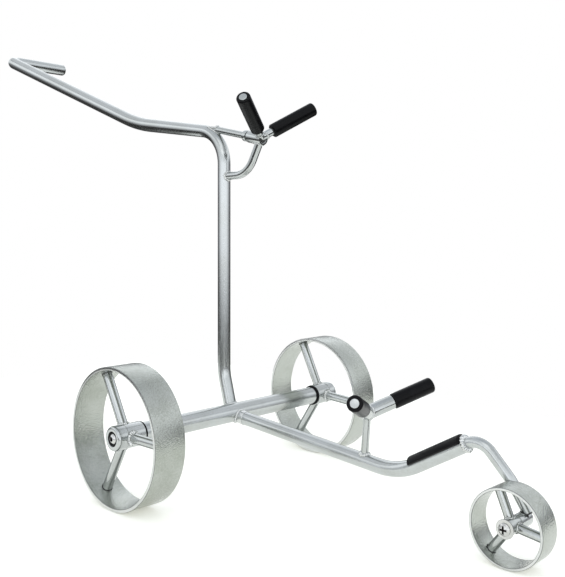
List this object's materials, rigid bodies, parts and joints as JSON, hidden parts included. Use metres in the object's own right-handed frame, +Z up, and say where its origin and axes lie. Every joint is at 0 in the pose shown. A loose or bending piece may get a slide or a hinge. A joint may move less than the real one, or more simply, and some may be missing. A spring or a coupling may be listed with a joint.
{
  "type": "bottle rack",
  "caption": "Tabletop wine bottle rack shaped like a small three-wheeled hand cart, of welded satin steel tube with spoked wheels and rubber-sleeved cradles.",
  "frame": {"origin": "on the floor, at the centre of the rack's box seen from above", "axes": "+X forward towards the small front wheel, +Y to the rack's left, where the grip points, +Z up"},
  "size_m": [0.6103, 0.222, 0.3702],
  "materials": {
    "satin_steel": "satin, bead blasted",
    "brushed_rim": "satin, finely brushed around the rim",
    "bright_steel": "smooth satin",
    "polished_screw": "polished",
    "black_rubber": "smooth matt",
    "black_plastic": "matt"
  },
  "bodies": {
    "frame": {"main_tube": "satin_steel", "grip_plug": "satin_steel", "axle_tube": "satin_steel", "lower_tube": "satin_steel", "front_stay": "satin_steel", "front_boss": "satin_steel", "lower_strut": "satin_steel", "neck_rod": "satin_steel", "neck_collar": "satin_steel", "neck_sleeve": "satin_steel", "curved_stay": "satin_steel", "neck_arm_left": "satin_steel", "neck_arm_right": "satin_steel", "cradle_arm_left": "satin_steel", "cradle_arm_right": "satin_steel", "nose_collar": "bright_steel", "axle_rod": "polished_screw", "rear_screws": "polished_screw", "front_washer": "polished_screw", "front_screw": "polished_screw", "boss_grub_screw": "polished_screw", "foot_pad": "black_rubber", "neck_rubber_left": "black_rubber", "neck_rubber_right": "black_rubber", "cradle_rubber_left": "black_rubber", "cradle_rubber_right": "black_rubber", "rear_washers": "black_rubber", "axle_bushes": "black_plastic"},
    "rear_wheel_left": {"rear_rim_left": "brushed_rim", "rear_spokes_left": "bright_steel", "rear_hub_left": "bright_steel", "rear_bush_left": "black_plastic"},
    "rear_wheel_right": {"rear_rim_right": "brushed_rim", "rear_spokes_right": "bright_steel", "rear_hub_right": "bright_steel", "rear_bush_right": "black_plastic"},
    "front_wheel": {"front_rim": "brushed_rim", "front_spokes": "bright_steel", "front_hub": "bright_steel", "front_bush": "black_plastic"}
  },
  "joints": [
    {"name": "rear_left_spin", "type": "hinge", "parent": "frame", "child": "rear_wheel_left", "pos_m": [0.0487, 0.0987, 0.0475], "axis": [0, 1, 0], "continuous": true},
    {"name": "rear_right_spin", "type": "hinge", "parent": "frame", "child": "rear_wheel_right", "pos_m": [0.0487, -0.0987, 0.0475], "axis": [0, 1, 0], "continuous": true},
    {"name": "front_spin", "type": "hinge", "parent": "frame", "child": "front_wheel", "pos_m": [0.2828, -0.008, 0.0223], "axis": [0, 1, 0], "continuous": true}
  ]
}
